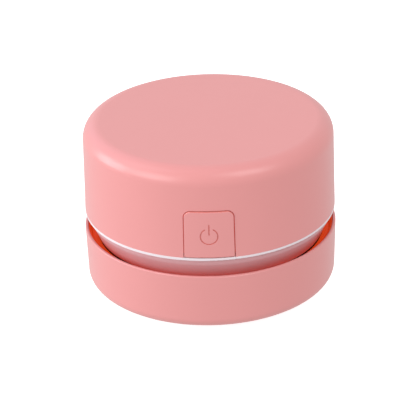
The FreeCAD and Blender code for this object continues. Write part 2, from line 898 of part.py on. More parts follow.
def motor_magnets():
    """Two curved magnets against the can's wall."""
    low, high = can_floor_z + 1.5, motor_top - 2.5
    shell = ring(can_inner_radius, can_inner_radius - magnet_thick, low, high)
    slot = box(-2.5, 2.5, -can_inner_radius, can_inner_radius, low, high)
    return shell.cut(slot).Solids


def motor_screws():
    return screws(motor_bolt_offset, (90, 270), deck_underside, deck_thick + motor_wall)


def motor_shaft():
    return [rod(shaft_radius, hub_foot_z, motor_top + shaft_end_rise)]


def motor_rotor():
    """The three-pole core and the commutator on the shaft."""
    radius = can_inner_radius - magnet_thick - rotor_gap
    low, high = can_floor_z + 2.0, motor_top - 6.0
    core = ring(radius, shaft_radius, low, high)
    for angle in (0, 120, 240):
        core = core.cut(turned_to(box(3.5, radius + 1, -1.2, 1.2, low, high), angle))
    return [core, ring(2.6, shaft_radius, high, high + 3.5)]


# ---------------------------------------------------------------- cell, cradle, board and socket


def battery_cell():
    """A round lithium cell lying along Y, with its raised tip to the front."""
    half = cell_length / 2
    start = Vector(cell_x, -half + cell_tip_height, cell_z)
    body = Part.makeCylinder(cell_radius, cell_length - cell_tip_height, start, inward)
    body = body.makeFillet(0.6, [e for e in body.Edges if len(e.Vertexes) == 1])
    tip = Part.makeCylinder(cell_tip_radius, cell_tip_height + 0.5, Vector(cell_x, -half, cell_z), inward)
    return [body.fuse(tip)]


def battery_cradle():
    """The white saddle under the cell, with an end wall at each contact."""
    left, right = cell_x - cradle_side, cell_x + cradle_side
    saddle = box(left, right, -cradle_reach, cradle_reach, deck_top, cell_z)
    bed = Part.makeCylinder(cell_radius, 2 * cradle_reach, Vector(cell_x, -cradle_reach, cell_z), inward)
    saddle = saddle.cut(bed)
    half = cradle_window / 2
    window = box(left, right, -half, half, deck_top + cradle_floor, cell_z)
    high = cell_z + cell_radius * 0.6
    wall = cradle_end_wall
    ends = [box(left, right, y, y + wall, deck_top, high) for y in (-cradle_end, cradle_reach)]
    return [saddle.cut(window).fuse(ends).removeSplitter()]


def battery_contacts():
    """Two nickel plates between the cell's ends and the cradle's end walls, each with a solder ear."""
    side = cell_radius - contact_inset
    left, middle, right = ear_x, cell_x - side, cell_x + side
    outline = [
        (middle, cell_z - contact_drop),
        (right, cell_z - contact_drop),
        (right, contact_top),
        (left, contact_top),
        (left, contact_top - ear_height),
        (middle, contact_top - ear_height),
    ]
    near, far = cell_length / 2, cradle_reach
    return [pressed(outline, near, far), pressed(outline, -far, -near)]


def circuit_board():
    """A C-shaped board round the motor, with a tongue for the charging socket at the back."""
    disc = ring(board_radius, board_inner_radius, board_z, board_top)
    reach = board_radius + 5
    x, y = at_angle(reach * 2, board_end_angle)
    wedge = upright([(0, 0), (x, -y), (reach * 2, -y), (reach * 2, y), (x, y)], board_z - 1, board_top + 1)
    board = disc.cut(wedge)
    left, right = -socket_width / 2 - 2, light_offset + light_radius + 0.5
    tongue = box(left, right, board_middle_radius, socket_mouth - tongue_inset, board_z, board_top)
    board = board.fuse(tongue).removeSplitter()
    for angle in board_screw_angles:
        x, y = at_angle(board_post_circle, angle)
        board = board.cut(rod(screw_radius + snug_gap, board_z - 1, board_top + 1, x, y))
    return [board]


def board_screws():
    length = board_thick + board_screw_bite
    return screws(board_post_circle, board_screw_angles, board_top, length, head_down=False)


def board_chips():
    """The charging chip, the power transistor, the choke and the capacitor."""
    chips = []
    flat = (chip_width, chip_length, chip_height, 140)
    tall = (transistor_width, transistor_length, transistor_height, 212)
    for width, length, height, angle in (flat, tall):
        chip = box(-width / 2, width / 2, -length / 2, length / 2, board_top, board_top + height)
        chip.translate(Vector(board_middle_radius, 0, 0))
        chips.append(turned_to(chip, angle))
    choke = (choke_radius, choke_height, 160)
    capacitor = (capacitor_radius, capacitor_height, 229)
    for radius, height, angle in (choke, capacitor):
        x, y = at_angle(board_middle_radius, angle)
        chips.append(rod(radius, board_top, board_top + height, x, y))
    return chips


def usb_socket():
    """The metal shell of the charging socket, with its tongue."""
    back = socket_mouth - socket_length
    shell = obround(socket_width, socket_height, port_z, back, socket_mouth)
    walls = 2 * socket_wall
    hollow = obround(socket_width - walls, socket_height - walls, port_z, back + 1.0, socket_mouth + 1)
    side = socket_width / 2 - tongue_inset
    half = tongue_thick / 2
    tongue = box(-side, side, back + 0.5, socket_mouth - tongue_inset, port_z - half, port_z + half)
    return [shell.cut(hollow).fuse(tongue)]


def charge_light():
    """The clear light guide beside the socket."""
    tip = math.sqrt(cover_face_radius(port_z) ** 2 - light_offset**2) - snug_gap
    start = socket_mouth - light_hold
    return [Part.makeCylinder(light_radius, tip - start, Vector(light_offset, start, port_z), inward)]


def plug_pins(x, y):
    """The two points on a plug's top where its leads go in, left and right."""
    half = lead_pitch / 2
    top = board_top + plug_height
    return (x - half, y, top), (x + half, y, top)


def lead_plugs():
    """The two white plugs that the motor's and the cell's leads push into the board with."""
    plugs = []
    for x, y in (motor_plug_place, cell_plug_place):
        side, half = plug_width / 2, plug_length / 2
        plugs.append(box(x - side, x + side, y - half, y + half, board_top, board_top + plug_height))
    return plugs


def motor_leads():
    """Two wires from the motor's tags, over the end cap and down to their plug."""
    height = cap_top + terminal_height / 2
    leads = []
    for side, pin in zip((-1, 1), plug_pins(*motor_plug_place)):
        x = side * terminal_offset
        over = (x, motor_radius + lead_overhang, height)
        down = (pin[0], pin[1], height - lead_fall)
        leads.append(lead([(x, terminal_thick / 2, height), over, down, pin]))
    return leads


def cell_leads():
    """Two wires from the contacts' ears: one runs beside the cell, and both end in the front plug."""
    left_pin, right_pin = plug_pins(*cell_plug_place)
    height = contact_top - ear_height / 2
    front = -(cell_length + contact_thick) / 2
    beside = (lead_x, cell_length / 2, height)
    bend = (lead_x, left_pin[1] + 2 * lead_overhang, height)
    over = (left_pin[0], left_pin[1], height + lead_overhang)
    outward = (right_pin[0] + lead_pitch / 2, front, height)
    down = (right_pin[0], right_pin[1], height - lead_pitch / 2)
    return [lead([beside, bend, over, left_pin]), lead([(ear_x, front, height), outward, down, right_pin])]


def write(name, solids):
    shape = solids[0] if len(solids) == 1 else Part.makeCompound(solids)
    for solid in shape.Solids:
        if not solid.isValid() or solid.Volume <= 0:
            raise ValueError(name + " is not a sound solid")
    shape.exportStep(os.path.join("parts", name + ".step"))
    print(name, len(shape.Solids), "solids,", round(shape.Volume, 1), "mm3")


pieces = (
    brush_strips,
    base_plate,
    base_screws,
    dust_bin,
    filter_frame,
    filter_gasket,
    filter_mesh,
    fan_guard,
    guard_screws,
    motor_tray,
    trim_ring,
    top_cover,
    cover_screws,
    power_button,
    power_switch,
    switch_plunger,
    impeller,
    motor_can,
    motor_bush,
    motor_end_cap,
    motor_terminals,
    motor_magnets,
    motor_screws,
    motor_shaft,
    motor_rotor,
    battery_cell,
    battery_cradle,
    battery_contacts,
    circuit_board,
    board_screws,
    board_chips,
    usb_socket,
    charge_light,
    lead_plugs,
    motor_leads,
    cell_leads,
)

os.makedirs("parts", exist_ok=True)
for piece in pieces:
    write(piece.__name__, piece())
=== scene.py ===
"""Finishes for the desktop mini vacuum cleaner: moulded plastics, bristles, filter wires, screws and
the engraved power mark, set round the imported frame. Sizes are in millimetres and angles in degrees
where nothing else is said, and the meshes are made in metres."""

import json
import math

import bmesh
import bpy
from mathutils import Matrix, Vector


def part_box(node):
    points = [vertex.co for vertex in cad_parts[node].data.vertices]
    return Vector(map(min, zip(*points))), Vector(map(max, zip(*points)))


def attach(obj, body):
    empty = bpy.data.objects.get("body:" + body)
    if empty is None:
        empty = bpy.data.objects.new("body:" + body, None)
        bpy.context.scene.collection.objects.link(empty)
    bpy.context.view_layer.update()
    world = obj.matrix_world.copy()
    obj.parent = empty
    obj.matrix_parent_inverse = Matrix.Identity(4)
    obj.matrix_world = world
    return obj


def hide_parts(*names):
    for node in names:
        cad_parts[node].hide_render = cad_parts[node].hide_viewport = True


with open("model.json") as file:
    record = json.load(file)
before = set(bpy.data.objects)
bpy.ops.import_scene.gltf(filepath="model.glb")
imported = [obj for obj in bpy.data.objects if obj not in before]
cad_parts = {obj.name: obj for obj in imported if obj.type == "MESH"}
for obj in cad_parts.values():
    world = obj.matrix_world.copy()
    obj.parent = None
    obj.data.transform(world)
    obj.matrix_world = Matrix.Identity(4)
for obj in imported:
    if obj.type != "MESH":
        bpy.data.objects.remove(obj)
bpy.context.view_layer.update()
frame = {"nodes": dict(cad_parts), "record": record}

nodes = frame["nodes"]
mm = 0.001
finishes = {}


def span(node, axis):
    """The lowest and highest place of a node along an axis, to the micrometre."""
    return [round(getattr(corner, axis) / mm, 3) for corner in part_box(node)]


# ---------------------------------------------------------------- node trees


class Link:
    """A socket of a node tree. The arithmetic operators on it add Math nodes."""

    def __init__(self, tree, socket):
        self.tree, self.socket = tree, socket

    def maths(self, operation, *terms):
        """A Math node on these terms, or on the link alone where there are none."""
        return self.tree.node("ShaderNodeMath", {"operation": operation}, dict(enumerate(terms or [self])))

    def __add__(self, other):
        return self.maths("ADD", self, other)

    def __radd__(self, other):
        return self.maths("ADD", other, self)

    def __sub__(self, other):
        return self.maths("SUBTRACT", self, other)

    def __rsub__(self, other):
        return self.maths("SUBTRACT", other, self)

    def __mul__(self, other):
        return self.maths("MULTIPLY", self, other)

    def __rmul__(self, other):
        return self.maths("MULTIPLY", other, self)

    def __truediv__(self, other):
        return self.maths("DIVIDE", self, other)

    def __rtruediv__(self, other):
        return self.maths("DIVIDE", other, self)

    def __mod__(self, other):
        return self.maths("FLOORED_MODULO", self, other)

    def __rmod__(self, other):
        return self.maths("FLOORED_MODULO", other, self)

    def above(self, edge, blur):
        """0 below the edge and 1 above it, over a soft band."""
        settings = {"interpolation_type": "SMOOTHSTEP"}
        values = {0: self, 1: edge - blur, 2: edge + blur}
        return self.tree.node("ShaderNodeMapRange", settings, values)


class Tree:
    """Builds the nodes of a material or of a Geometry Nodes group."""

    def __init__(self, tree):
        self.tree = tree

    def node(self, kind, settings=None, values=None, out=0):
        """Adds a node: its settings first, then the values or links of its sockets."""
        made = self.tree.nodes.new(kind)
        for name, setting in (settings or {}).items():
            setattr(made, name, setting)
        for name, value in (values or {}).items():
            if isinstance(value, Link):
                self.tree.links.new(value.socket, made.inputs[name])
            else:
                made.inputs[name].default_value = value
        return Link(self, made.outputs[out])

    def vectors(self, operation, *terms, out=0):
        """A Vector Math node on these terms."""
        return self.node("ShaderNodeVectorMath", {"operation": operation}, dict(enumerate(terms)), out)

    def scaled(self, vector, factor):
        return self.node("ShaderNodeVectorMath", {"operation": "SCALE"}, {0: vector, "Scale": factor})

    def length(self, vector):
        return self.vectors("LENGTH", vector, out="Value")

    def part(self, vector, axis):
        """One component of a vector, by its letter."""
        return self.node("ShaderNodeSeparateXYZ", None, {0: vector}, out=axis)


class Growth(Tree):
    """A Geometry Nodes tree with named inputs, grown on a host mesh into a plain mesh."""

    kinds = {float: "NodeSocketFloat", int: "NodeSocketInt", bpy.types.Object: "NodeSocketObject"}

    def __init__(self, name, inputs):
        group = bpy.data.node_groups.new(name, "GeometryNodeTree")
        super().__init__(group)
        group.interface.new_socket("Mesh", in_out="INPUT", socket_type="NodeSocketGeometry")
        group.interface.new_socket("Mesh", in_out="OUTPUT", socket_type="NodeSocketGeometry")
        self.values = {}
        for label, value in inputs.items():
            kind = self.kinds[type(value)]
            made = group.interface.new_socket(label, in_out="INPUT", socket_type=kind)
            self.values[made.identifier] = value
        self.given = group.nodes.new("NodeGroupInput")

    def __getitem__(self, label):
        return Link(self, self.given.outputs[label])

    def vector(self, x=0.0, y=0.0, z=0.0):
        return self.node("ShaderNodeCombineXYZ", None, {0: x, 1: y, 2: z})

    def chance(self, low, high, seed):
        """A random number for each point or instance."""
        values = {2: low, 3: high, "Seed": seed}
        return self.node("FunctionNodeRandomValue", {"data_type": "FLOAT"}, values, out=1)

    def copies(self, points, shape, **turn_and_scale):
        """The shape set on each of the points."""
        values = {"Points": points, "Instance": shape, **turn_and_scale}
        return self.node("GeometryNodeInstanceOnPoints", None, values)

    def row(self, count, start, step):
        """Points in a straight row."""
        values = {"Count": count, "Start Location": start, "Offset": step}
        return self.node("GeometryNodeMeshLine", {"mode": "OFFSET"}, values)

    def both(self, first, second):
        """Two geometries in one."""
        whole = self.node("GeometryNodeJoinGeometry", None, {0: first})
        self.tree.links.new(second.socket, whole.socket.node.inputs[0])
        return whole

    def grow(self, shape, host, material):
        """Ends the tree, runs it on the host's mesh and returns the mesh that it makes."""
        real = self.node("GeometryNodeRealizeInstances", None, {"Geometry": shape})
        last = self.node("GeometryNodeSetMaterial", None, {"Geometry": real, "Material": material})
        end = self.tree.nodes.new("NodeGroupOutput")
        self.tree.links.new(last.socket, end.inputs[0])
        grown = host.modifiers.new(self.tree.name, "NODES")
        grown.node_group = self.tree
        for identifier, value in self.values.items():
            grown[identifier] = value
        mesh = evaluated(host)
        bpy.data.objects.remove(host)
        mesh.materials.clear()
        mesh.materials.append(material)
        mesh.polygons.foreach_set("material_index", [0] * len(mesh.polygons))
        return mesh


class Finish(Tree):
    """A material on a Principled surface, with patterns in millimetres of the object's own space."""

    def __init__(self, name, **surface):
        material = finishes[name] = bpy.data.materials.new(name)
        material.use_nodes = True
        super().__init__(material.node_tree)
        self.surface = self.tree.nodes["Principled BSDF"]
        self.place = self.scaled(self.node("ShaderNodeTexCoord", out="Object"), 1 / mm)
        self.set(**surface)

    def set(self, **surface):
        """Sets or links sockets of the surface, named with _ for each space."""
        for name, value in surface.items():
            socket = self.surface.inputs[name.replace("_", " ")]
            if isinstance(value, Link):
                self.tree.links.new(value.socket, socket)
            elif socket.type == "RGBA":
                socket.default_value = (*value, 1.0)
            else:
                socket.default_value = value

    def stretched(self, x=1.0, y=1.0, z=1.0):
        """The place with its axes stretched, for a pattern that is drawn out along one of them."""
        return self.vectors("MULTIPLY", self.place, (x, y, z))

    def noise(self, size, detail=3.0, place=None):
        """Soft random patches about this large, from 0 to 1."""
        values = {"Vector": place or self.place, "Scale": 1 / size, "Detail": detail}
        return self.node("ShaderNodeTexNoise", None, values)

    def cells(self, size, place=None):
        """Distance from the middle of random cells about this large, as a share of the size."""
        values = {"Vector": place or self.place, "Scale": 1 / size}
        return self.node("ShaderNodeTexVoronoi", {"feature": "F1"}, values)

    def blend(self, factor, first, second):
        """A colour between two colours, which are sockets 6 and 7 of the node. It gives socket 2."""
        first, second = [c if isinstance(c, Link) else (*c, 1.0) for c in (first, second)]
        return self.node("ShaderNodeMix", {"data_type": "RGBA"}, {0: factor, 6: first, 7: second}, out=2)

    def mottled(self, colour, tint, patch=16.0):
        """A colour with faint flow patches, darker and lighter by the tint."""
        darker, lighter = [[channel * (1 + way * tint) for channel in colour] for way in (-1, 1)]
        return self.blend(self.noise(patch), darker, lighter)

    def from_axis(self):
        """Distance from the Z axis."""
        return self.length(self.stretched(z=0.0))

    def clear_from_behind(self):
        """Shows only the front of the surface."""
        rear = self.node("ShaderNodeNewGeometry", out="Backfacing")
        clear = self.node("ShaderNodeBsdfTransparent")
        shown = Link(self, self.surface.outputs[0])
        mixed = self.node("ShaderNodeMixShader", None, {0: rear, 1: shown, 2: clear})
        self.tree.links.new(mixed.socket, self.tree.nodes["Material Output"].inputs["Surface"])

    def bump(self, height, depth):
        """Feeds the Normal from a height of 0 to 1 that stands for this depth."""
        self.set(Normal=self.node("ShaderNodeBump", None, {"Height": height, "Distance": depth * mm}))


# ---------------------------------------------------------------- plastics


gloss_patch, gloss_swing = 5.0, 0.03

shell_colour, shell_tint, shell_roughness = (0.745, 0.290, 0.283), 0.012, 0.31
# The skirt is the shell's plastic, its pink painted duller and bluer to stand in for the light and shade
# it gets under the ring.
skirt_painted_shading_colour, skirt_roughness = (0.61, 0.295, 0.31), 0.34
satin = {
    "grain": 0.3,
    "grain_depth": 0.0012,
    "Specular_IOR_Level": 0.5,
    "Coat_Weight": 0.12,
    "Coat_Roughness": 0.22,
}

button_face = round(-span("power_button", "y")[0], 2)
mark_skin, slot_skin, slot_blur = 0.08, 1.2, 0.3
# The slot's colour and glow are painted light: a redder tone and a glow in place of the shade round the
# tab.
mark_colour, slot_painted_light_colour, slot_painted_glow = (0.76, 0.225, 0.20), (0.85, 0.12, 0.10), (0.9, 0.12, 0.10)


def plastic(name, roughness, grain=0.25, grain_depth=0.0015, **surface):
    """Moulded plastic without its colour: uneven gloss and a fine skin texture."""
    finish = Finish(name, **surface)
    finish.set(Roughness=roughness - gloss_swing + 2 * gloss_swing * finish.noise(gloss_patch))
    finish.bump(finish.noise(grain, detail=2.0), grain_depth)
    return finish


def moulded(name, colour, roughness, tint=0.03, **skin):
    """Plastic moulded in one colour."""
    finish = plastic(name, roughness, **skin)
    finish.set(Base_Color=finish.mottled(colour, tint))


def button_plastic():
    """The shell's plastic, deeper in the power mark, with painted light in the slot round the tab: a
    redder colour and a painted glow in place of its shade.
    """
    finish = plastic("button_pink", shell_roughness, **satin)
    reach = finish.from_axis()
    outside_mark = reach.above(button_face - mark_skin, mark_skin / 2)
    clear_of_painted_slot = reach.above(button_face - slot_skin, slot_blur)
    face = finish.blend(outside_mark, mark_colour, finish.mottled(shell_colour, shell_tint))
    # Painted light: the slot round the tab is coloured redder and glows, in place of its shade.
    finish.set(Base_Color=finish.blend(clear_of_painted_slot, slot_painted_light_colour, face))
    finish.set(Emission_Color=finish.blend(clear_of_painted_slot, slot_painted_glow, (0.0, 0.0, 0.0)))
    finish.set(Emission_Strength=0.2)


moulded("shell_pink", shell_colour, shell_roughness, shell_tint, **satin)
moulded("skirt_pink", skirt_painted_shading_colour, skirt_roughness, shell_tint, **satin)
button_plastic()
moulded("trim_white", (0.80, 0.70, 0.73), 0.3, tint=0.02, Coat_Weight=0.2)
# The orange cup glows with painted light: its emission stands in for light in the shaded vent, though it
# is no lamp.
moulded(
    "filter_orange",
    (0.88, 0.075, 0.012),
    0.5,
    tint=0.06,
    Specular_IOR_Level=0.15,
    Emission_Color=(1.0, 0.11, 0.012),
    Emission_Strength=0.17,
)
moulded("guard_black", (0.014, 0.014, 0.015), 0.42, tint=0.2, grain_depth=0.004)
moulded("fan_white", (0.72, 0.71, 0.68), 0.34)
moulded("cap_plastic", (0.70, 0.68, 0.62), 0.45, tint=0.05, grain_depth=0.004)
moulded("cradle_white", (0.76, 0.75, 0.72), 0.4)
moulded("chip_black", (0.022, 0.022, 0.024), 0.5, tint=0.25, grain_depth=0.006)
moulded("switch_black", (0.02, 0.02, 0.022), 0.38, tint=0.2)
moulded("plunger_white", (0.74, 0.73, 0.70), 0.36)
moulded("light_clear", (0.88, 0.90, 0.92), 0.18, tint=0.02, Coat_Weight=0.6)
moulded("lead_red", (0.55, 0.016, 0.012), 0.4, tint=0.08)
moulded("lead_black", (0.016, 0.016, 0.017), 0.42, tint=0.2)


# ---------------------------------------------------------------- metals


def drawn_metal(name, colour, roughness, pull):
    """Rolled, drawn or turned metal: fine lines along one direction over soft patches."""
    finish = Finish(name, Metallic=1.0)
    lines = finish.noise(0.2, detail=4.0, place=finish.stretched(*pull))
    patches = finish.noise(3.0)
    finish.set(Base_Color=finish.blend(patches, [c * 0.9 for c in colour], colour))
    finish.set(Roughness=roughness + 0.14 * (lines - 0.5) + 0.06 * patches)
    finish.bump(lines, depth=0.002)


def filter_wire():
    """Woven steel wire, dulled in places."""
    finish = Finish("mesh_grey", Metallic=1.0)
    dull = finish.noise(2.5)
    finish.set(Base_Color=finish.blend(dull, (0.36, 0.37, 0.38), (0.56, 0.57, 0.58)))
    finish.set(Roughness=0.32 + 0.14 * dull)
    finish.bump(finish.noise(0.15), depth=0.004)


def sintered_bronze():
    """Pressed bronze with dark open pores."""
    finish = Finish("bronze", Metallic=1.0)
    pore_spacing, pore_share, pore_blur = 0.18, 0.28, 0.1
    solid = finish.cells(pore_spacing).above(pore_share, pore_blur)
    finish.set(Base_Color=finish.blend(solid, (0.16, 0.09, 0.04), (0.62, 0.39, 0.18)))
    finish.set(Roughness=0.52 - 0.12 * solid)
    finish.bump(solid, depth=0.01)


def laminated_steel():
    """A stack of stampings, with thin dark joints across the core."""
    sheet, joint_share = 0.35, 0.16
    finish = Finish("core_steel", Metallic=1.0)
    height = finish.part(finish.place, "Z")
    metal = (height / sheet % 1.0).above(joint_share, joint_share / 2)
    steel = finish.blend(finish.noise(1.5), (0.26, 0.25, 0.24), (0.42, 0.41, 0.4))
    finish.set(Base_Color=finish.blend(metal, (0.05, 0.045, 0.04), steel))
    finish.set(Roughness=0.5 - 0.14 * metal)
    finish.bump(metal, depth=0.02)


drawn_metal("zinc_steel", (0.66, 0.67, 0.69), 0.3, (1.0, 1.0, 0.3))
drawn_metal("shaft_steel", (0.70, 0.70, 0.71), 0.16, (1.0, 1.0, 4.0))
drawn_metal("can_steel", (0.62, 0.62, 0.61), 0.3, (1.0, 1.0, 0.08))
drawn_metal("tag_brass", (0.80, 0.58, 0.25), 0.26, (0.3, 1.0, 1.0))
drawn_metal("nickel", (0.72, 0.69, 0.63), 0.24, (0.3, 1.0, 1.0))
filter_wire()
sintered_bronze()
laminated_steel()


# ---------------------------------------------------------------- other finishes


def nylon_bristle():
    """Nylon filament, a little different from tuft to tuft."""
    finish = Finish("bristle", Specular_IOR_Level=0.4)
    tufts = finish.noise(0.5, detail=1.0, place=finish.stretched(z=0.1))
    finish.set(Base_Color=finish.blend(tufts, (0.50, 0.48, 0.47), (0.78, 0.76, 0.74)))
    finish.set(Roughness=0.42 + 0.16 * tufts)
    finish.bump(finish.noise(0.08, detail=1.0), depth=0.003)


def gasket_rubber():
    """Matt rubber with a fine speckle."""
    grey = (0.10, 0.10, 0.105)
    finish = Finish("gasket_grey", Specular_IOR_Level=0.35)
    speckle = finish.noise(0.3, detail=4.0)
    finish.set(Base_Color=finish.blend(speckle, [c * 0.8 for c in grey], [c * 1.2 for c in grey]))
    finish.set(Roughness=0.66 + 0.14 * speckle)
    finish.bump(finish.noise(0.12), depth=0.006)


def magnet_ferrite():
    """Dark fired ceramic with a coarse grain."""
    finish = Finish("ferrite", Specular_IOR_Level=0.5)
    grain = finish.noise(0.15, detail=5.0)
    finish.set(Base_Color=finish.blend(grain, (0.018, 0.018, 0.02), (0.06, 0.06, 0.065)))
    finish.set(Roughness=0.55 + 0.2 * grain)
    finish.bump(grain, depth=0.006)


def shrunk_sleeve():
    """Heat-shrunk film: drawn tight along the cell, wrinkled where it turns over the ends."""
    wrinkled_from, blur = 22.5, 1.5
    finish = Finish("cell_sleeve", Coat_Weight=0.4, Coat_Roughness=0.12)
    ends = finish.part(finish.place, "Y").maths("ABSOLUTE").above(wrinkled_from, blur)
    creases = finish.noise(0.7, detail=4.0, place=finish.stretched(y=0.2))
    finish.set(Base_Color=finish.blend(creases, (0.015, 0.10, 0.16), (0.02, 0.15, 0.23)))
    finish.set(Roughness=0.24 + 0.1 * creases)
    finish.bump(creases * (0.25 + 0.75 * ends), depth=0.05)


def circuit_board():
    """Solder mask over copper: a fine lattice of tracks, plated pads and the glass weave below."""
    pad_spacing, pad_share, pad_blur = 2.4, 0.2, 0.02
    finish = Finish("board_green", Coat_Weight=0.5, Coat_Roughness=0.2)
    lattice = {"Scale": 0.55, "Mortar Size": 0.035, "Brick Width": 2.4, "Row Height": 0.6}
    lines = finish.node(
        "ShaderNodeTexBrick",
        {"offset": 0.5, "offset_frequency": 2},
        {"Vector": finish.place, **lattice},
        out="Fac",
    )
    pads = 1.0 - finish.cells(pad_spacing, finish.stretched(z=0.0)).above(pad_share, pad_blur)
    mask = finish.blend(finish.noise(0.3, detail=2.0), (0.006, 0.075, 0.035), (0.01, 0.10, 0.05))
    tracks = finish.blend(lines, mask, (0.03, 0.19, 0.08))
    finish.set(Base_Color=finish.blend(pads, tracks, (0.70, 0.66, 0.58)))
    finish.set(Metallic=pads, Roughness=0.42 - 0.12 * pads)
    finish.bump(0.5 * lines + 0.5 * pads, depth=0.03)


nylon_bristle()
gasket_rubber()
magnet_ferrite()
shrunk_sleeve()
circuit_board()

for part in frame["record"]["subparts"]:
    nodes[part["node"]].material_slots[0].material = finishes[part["material_slot"]]


# ---------------------------------------------------------------- mesh tools


merge_distance = 0.002 * mm


def placed(name, mesh):
    """A new object for a mesh, at the origin."""
    made = bpy.data.objects.new(name, mesh)
    bpy.context.scene.collection.objects.link(made)
    return made


def plain(name, shape):
    """Mesh data from a bmesh, which is used up."""
    data = bpy.data.meshes.new(name)
    shape.to_mesh(data)
    shape.free()
    return data


def filled(name, shape, finish):
    """A new object from a bmesh, with one finish."""
    data = plain(name, shape)
    data.materials.append(finishes[finish])
    return placed(name, data)


def joined(*meshes):
    """One bmesh of several meshes."""
    whole = bmesh.new()
    for mesh in meshes:
        whole.from_mesh(mesh)
    return whole


def merged(node):
    """A copy of a node, its loose triangles joined up."""
    copy = joined(nodes[node].data)
    bmesh.ops.remove_doubles(copy, verts=copy.verts, dist=merge_distance)
    return copy


def evaluated(host):
    """The host's mesh with its modifiers applied."""
    bpy.context.view_layer.update()
    seen = host.evaluated_get(bpy.context.evaluated_depsgraph_get())
    return bpy.data.meshes.new_from_object(seen)


def smooth(mesh, sharp=30.0):
    """Soft shading, with edges over this angle left sharp."""
    mesh.polygons.foreach_set("use_smooth", [True] * len(mesh.polygons))
    mesh.set_sharp_from_angle(angle=math.radians(sharp))


def carved(solid, cutter):
    """Cuts one closed shape out of another and returns the mesh. Both objects are used up."""
    cut = solid.modifiers.new("cut", "BOOLEAN")
    cut.operation, cut.solver, cut.object = "DIFFERENCE", "EXACT", cutter
    mesh = evaluated(solid)
    bpy.data.objects.remove(solid)
    bpy.data.objects.remove(cutter)
    return mesh


def at_turn(radius, turn, z):
    """A point by its distance from the Z axis, its turn from +X in radians and its height."""
    return (radius * math.cos(turn), radius * math.sin(turn), z)


def skin(shape, rows, looped=True, capped=True):
    """Quads between rows of points. A row of one point is a pole."""
    made = [[shape.verts.new(Vector(point) * mm) for point in row] for row in rows]
    for low, high in zip(made, made[1:]):
        count = max(len(low), len(high))
        for i in range(count if looped else count - 1):
            j = (i + 1) % count
            corners = [low[i % len(low)], low[j % len(low)], high[j % len(high)], high[i % len(high)]]
            shape.faces.new(dict.fromkeys(corners))
    if capped:
        for row in (made[0], made[-1]):
            if len(row) > 2:
                shape.faces.new(row)


def outward(shape):
    """Turns the faces of a closed shape outwards."""
    bmesh.ops.recalc_face_normals(shape, faces=shape.faces)
    return shape


def arc_bar(shape, profile, start, sweep, steps):
    """A bar with this profile of (radius, height) swept round the Z axis, its ends closed."""
    turns = [math.radians(start + sweep * step / steps) for step in range(steps + 1)]
    skin(shape, [[at_turn(r, turn, z) for r, z in profile] for turn in turns])


def turned_ring(shape, profile, steps):
    """A closed ring with this profile of (radius, height)."""
    turns = [2 * math.pi * step / steps for step in range(steps)]
    skin(shape, [[at_turn(r, turn, z) for turn in turns] for r, z in profile + profile[:1]], capped=False)
    bmesh.ops.remove_doubles(shape, verts=shape.verts, dist=merge_distance)


def piece(made, body, slot, *stands_for):
    """Rides a piece on its body and hides the nodes that it stands for. The slot is not used."""
    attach(made, body)
    if stands_for:
        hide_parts(*stands_for)


# ---------------------------------------------------------------- screws


head_radius, head_height, shank_radius = 1.9, 1.3, 1.0
thread_pitch, thread_depth, neck, tip = 0.8, 0.22, 0.4, 0.8
screw_sides, rows_per_pitch, screw_sharp = 20, 6, 32.0

# Shares of the shank's radius and of the tip's length, where the tip draws in to its point
blunt_radius, blunt_length = 0.5, 0.25

# Shares of the head's radius and height, from near the crown down to the seat
head_outline = ((0.35, 0.985), (0.62, 0.9), (0.84, 0.72), (0.96, 0.46), (1.0, 0.2), (0.985, 0.0))

# Height, half the length and half the width of a recess arm, at its floor and above the head
recess_section = ((0.35, 0.52, 0.16), (head_height + 0.2, 1.15, 0.22))


def ring_of(radius, z, wave=0.0):
    """A row of points round the Z axis. The wave gives the row the thread's rise and fall."""
    row = []
    for i in range(screw_sides):
        share = i / screw_sides
        phase = (z / thread_pitch + share) % 1.0
        row.append(at_turn(radius - wave * abs(2 * phase - 1), 2 * math.pi * share, z))
    return row


def recess_arm(across, along):
    """One arm of the cross recess, narrowing downwards."""
    rows = []
    for z, half, wide in recess_section:
        corners = ((half, wide), (-half, wide), (-half, -wide), (half, -wide))
        rows.append([(a * across - b * along, a * along + b * across, z) for a, b in corners])
    arm = bmesh.new()
    skin(arm, rows)
    return filled("recess_arm", outward(arm), "zinc_steel")


def screw_shape(length):
    """A pan-head screw with a cross recess. Its head stands on z = 0 and its thread runs down."""
    rows = [[(0, 0, head_height)]]
    rows += [ring_of(head_radius * r, head_height * z) for r, z in head_outline]
    rows.append(ring_of(shank_radius, 0.0))
    turns = int((length - neck - tip) / thread_pitch * rows_per_pitch)
    for row in range(turns + 1):
        rows.append(ring_of(shank_radius, -neck - row * thread_pitch / rows_per_pitch, thread_depth))
    rows.append(ring_of(blunt_radius * shank_radius, -length + blunt_length * tip))
    rows.append([(0, 0, -length)])
    shape = bmesh.new()
    skin(shape, rows)
    slotted = carved(filled("blank", outward(shape), "zinc_steel"), recess_arm(1, 0))
    mesh = carved(placed("slotted", slotted), recess_arm(0, 1))
    smooth(mesh, screw_sharp)
    return placed("screw_shape", mesh)


